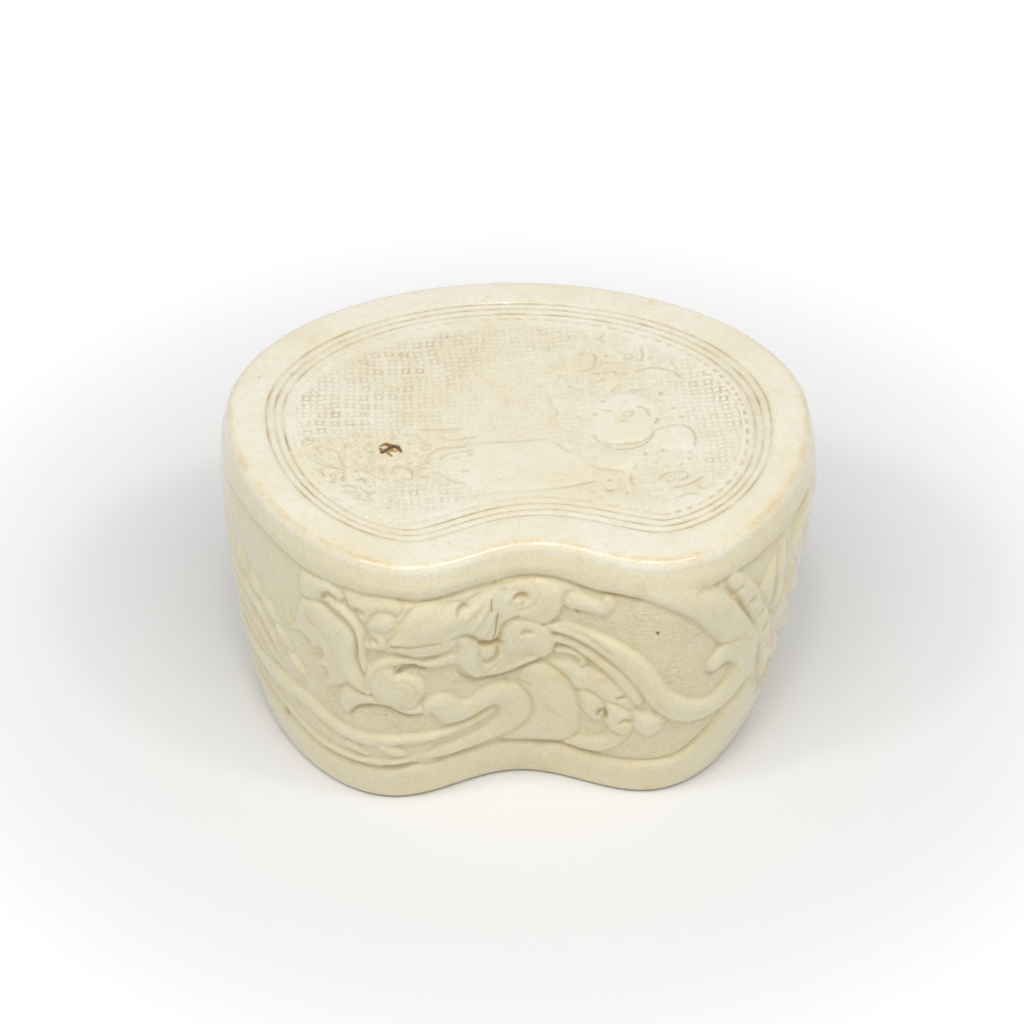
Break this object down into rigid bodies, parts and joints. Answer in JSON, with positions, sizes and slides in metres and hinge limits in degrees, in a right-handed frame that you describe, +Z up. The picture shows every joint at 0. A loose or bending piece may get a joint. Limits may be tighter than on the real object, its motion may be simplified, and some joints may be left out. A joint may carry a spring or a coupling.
{
  "type": "ceramic pillow",
  "caption": "Hollow bean-shaped ceramic pillow with a stamped lion headrest and a press-moulded dragon wall under ivory glaze, standing on its flat base.",
  "frame": {"origin": "centre of the pillow's box on the surface it stands on", "axes": "+X to the right along the length, +Y to the back, away from the hollow front, +Z up through the headrest"},
  "size_m": [0.209, 0.1708, 0.1125],
  "materials": {
    "ivory_glaze": "glossy",
    "bare_clay": "matt",
    "luting_slip": "matt"
  },
  "bodies": {
    "root": {"headrest_slab": "ivory_glaze", "front_wall": "ivory_glaze", "back_wall": "ivory_glaze", "base_slab": "bare_clay", "headrest_slip": "luting_slip", "base_slip": "luting_slip", "left_seam_slip": "luting_slip", "right_seam_slip": "luting_slip", "headrest_coil": "bare_clay", "left_seam_strip": "bare_clay", "right_seam_strip": "bare_clay"}
  },
  "joints": []
}
